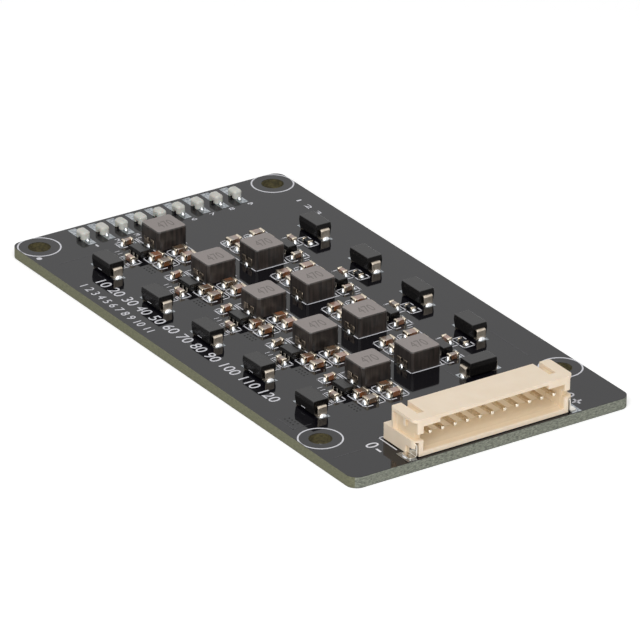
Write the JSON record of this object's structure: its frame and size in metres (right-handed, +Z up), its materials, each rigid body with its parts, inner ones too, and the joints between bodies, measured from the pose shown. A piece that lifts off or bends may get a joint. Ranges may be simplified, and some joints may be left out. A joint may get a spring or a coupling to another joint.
{
  "type": "battery balancer",
  "caption": "Flat rectangular circuit board with facing rows of block inductors, moulded diodes and chip capacitors, a row of lamps at one end and a cream side-entry header at the other.",
  "frame": {"origin": "centre of the board's underside", "axes": "+X along the board towards the header, +Y across the board, +Z up from the underside to the component side"},
  "size_m": [0.085, 0.045, 0.0071],
  "materials": {
    "glass_epoxy_board": "glossy black solder mask over olive glass epoxy",
    "header_nylon": "moulded natural nylon",
    "tinned_pin": "tin plated",
    "pressed_iron_powder": "pressed and coated iron powder",
    "moulded_epoxy": "moulded black epoxy",
    "lamp_resin": "milky lamp resin",
    "tinned_lead": "tin plated",
    "capacitor_ceramic": "fired brown ceramic",
    "resistor_ceramic": "glazed black top",
    "tinned_end": "tin plated",
    "solder": "bright solder"
  },
  "bodies": {
    "root": {"circuit_board": "glass_epoxy_board", "connector_housing": "header_nylon", "contact_pin_01": "tinned_pin", "contact_pin_02": "tinned_pin", "contact_pin_03": "tinned_pin", "contact_pin_04": "tinned_pin", "contact_pin_05": "tinned_pin", "contact_pin_06": "tinned_pin", "contact_pin_07": "tinned_pin", "contact_pin_08": "tinned_pin", "contact_pin_09": "tinned_pin", "contact_pin_10": "tinned_pin", "contact_pin_11": "tinned_pin", "solder_tab_near": "tinned_pin", "solder_tab_far": "tinned_pin", "inductor_1": "pressed_iron_powder", "inductor_2": "pressed_iron_powder", "inductor_3": "pressed_iron_powder", "inductor_4": "pressed_iron_powder", "inductor_5": "pressed_iron_powder", "inductor_6": "pressed_iron_powder", "inductor_7": "pressed_iron_powder", "inductor_8": "pressed_iron_powder", "inductor_9": "pressed_iron_powder", "balancer_chip_1": "moulded_epoxy", "balancer_chip_2": "moulded_epoxy", "balancer_chip_3": "moulded_epoxy", "balancer_chip_4": "moulded_epoxy", "balancer_chip_5": "moulded_epoxy", "balancer_chip_6": "moulded_epoxy", "balancer_chip_7": "moulded_epoxy", "balancer_chip_8": "moulded_epoxy", "balancer_chip_9": "moulded_epoxy", "clamp_diode_01": "moulded_epoxy", "clamp_diode_02": "moulded_epoxy", "clamp_diode_03": "moulded_epoxy", "clamp_diode_04": "moulded_epoxy", "clamp_diode_05": "moulded_epoxy", "clamp_diode_06": "moulded_epoxy", "clamp_diode_07": "moulded_epoxy", "clamp_diode_08": "moulded_epoxy", "clamp_diode_09": "moulded_epoxy", "clamp_diode_10": "moulded_epoxy", "status_lamp_1": "lamp_resin", "status_lamp_2": "lamp_resin", "status_lamp_3": "lamp_resin", "status_lamp_4": "lamp_resin", "status_lamp_5": "lamp_resin", "status_lamp_6": "lamp_resin", "status_lamp_7": "lamp_resin", "status_lamp_8": "lamp_resin", "status_lamp_9": "lamp_resin", "inductor_terminals": "tinned_lead", "diode_leads": "tinned_lead", "chip_pins": "tinned_lead", "large_capacitors": "capacitor_ceramic", "small_capacitors": "capacitor_ceramic", "resistors": "resistor_ceramic", "end_caps": "tinned_end", "solder_fillets": "solder"}
  },
  "joints": []
}
